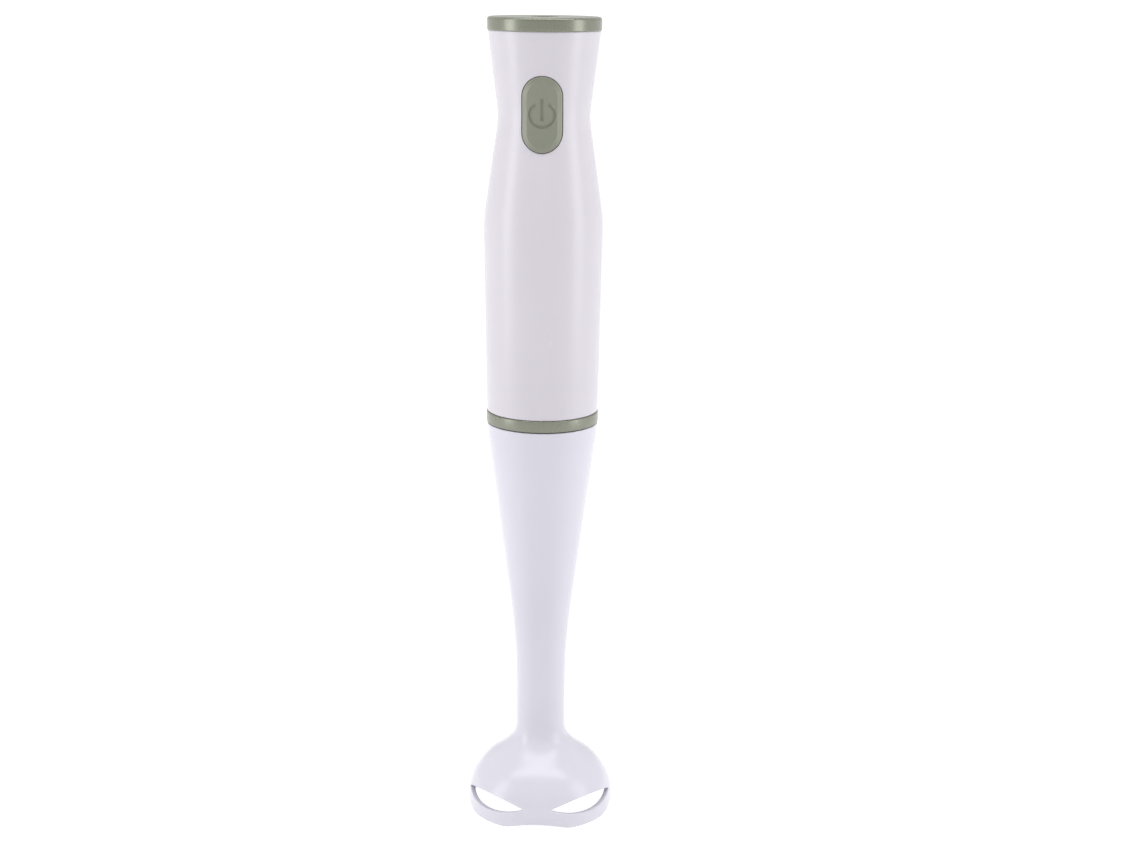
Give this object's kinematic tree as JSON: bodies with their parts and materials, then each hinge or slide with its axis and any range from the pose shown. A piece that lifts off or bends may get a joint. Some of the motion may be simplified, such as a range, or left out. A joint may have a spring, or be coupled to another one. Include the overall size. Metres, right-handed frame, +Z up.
{
  "type": "immersion blender",
  "caption": "Handheld stick blender: waisted housing with a push button, twist-off tapered leg and a slotted bell guard over a spinning blade.",
  "frame": {"origin": "on the axis, in the plane of the bell's four feet", "axes": "+Z up along the axis towards the cap, the button faces -Y, +X to the viewer's right when facing the button"},
  "size_m": [0.069, 0.069, 0.38],
  "materials": {
    "black_plastic": "moulded",
    "board": "glass fibre laminate",
    "brass": "stamped",
    "bronze": "sintered",
    "carbon": "pressed carbon",
    "copper": "enamelled wire",
    "ferrite": "sintered",
    "film_yellow": "moulded",
    "grey_plastic": "moulded",
    "housing_white": "satin moulded",
    "inner_plastic": "moulded",
    "laminated_steel": "stacked laminations",
    "leg_white": "satin moulded",
    "natural_plastic": "moulded",
    "red_plastic": "moulded",
    "rubber": "moulded",
    "stainless": "polished",
    "steel": "ground",
    "trim_green": "satin moulded",
    "wire_blue": "pvc insulation",
    "wire_red": "pvc insulation",
    "zinc_steel": "zinc plated"
  },
  "bodies": {
    "housing": {"front_shell": "housing_white", "rear_shell": "housing_white", "top_cap": "trim_green", "joint_ring": "trim_green", "bayonet_insert": "inner_plastic", "cord_gland": "rubber", "cord_clamp": "grey_plastic", "clamp_screws": "zinc_steel", "shell_screws": "zinc_steel", "switch_body": "black_plastic", "switch_terminals": "brass", "switch_bracket": "grey_plastic", "control_board": "board", "bridge_rectifier": "black_plastic", "suppression_capacitor": "film_yellow", "chokes": "copper", "switch_leads": "wire_blue", "motor_leads": "wire_red", "motor_can": "steel", "motor_end_cap": "black_plastic", "magnets": "ferrite", "brush_holders": "brass", "carbon_brushes": "carbon", "brush_springs": "zinc_steel", "upper_bearing": "bronze", "lower_bearing": "bronze", "motor_mounts": "rubber"},
    "button": {"button": "trim_green"},
    "plunger": {"switch_plunger": "red_plastic"},
    "rotor": {"rotor_shaft": "steel", "armature_core": "laminated_steel", "armature_windings": "copper", "commutator": "copper", "cooling_fan": "natural_plastic", "drive_dog": "natural_plastic"},
    "blade_drive": {"drive_socket": "grey_plastic", "drive_shaft": "stainless", "blade": "stainless", "blade_hub": "stainless", "thrust_washer": "natural_plastic", "retaining_clip": "zinc_steel"},
    "leg": {"leg_shell": "leg_white", "bell_guard": "leg_white", "leg_collar": "inner_plastic", "upper_bush": "bronze", "middle_bush": "natural_plastic", "lower_bush": "bronze", "shaft_seal": "rubber", "seal_retainer": "stainless"}
  },
  "joints": [
    {"name": "button_press", "type": "slide", "parent": "housing", "child": "button", "axis": [0, 1, 0], "range_m": [0, 0.0022], "stiffness_N_per_m": 1200, "springref_m": -0.001},
    {"name": "plunger_press", "type": "slide", "parent": "housing", "child": "plunger", "axis": [0, 1, 0], "range_m": [0, 0.0022]},
    {"name": "rotor_spin", "type": "hinge", "parent": "housing", "child": "rotor", "pos_m": [0, 0, 0.25], "axis": [0, 0, 1], "continuous": true},
    {"name": "blade_spin", "type": "hinge", "parent": "housing", "child": "blade_drive", "pos_m": [0, 0, 0.1], "axis": [0, 0, 1], "continuous": true},
    {"name": "leg_twist", "type": "hinge", "parent": "housing", "child": "leg", "pos_m": [0, 0, 0.2], "axis": [0, 0, 1], "range_deg": [0, 35]}
  ],
  "couplings": [
    {"joint": "plunger_press", "follows": "button_press", "ratio": 1},
    {"joint": "blade_spin", "follows": "rotor_spin", "ratio": 1}
  ]
}
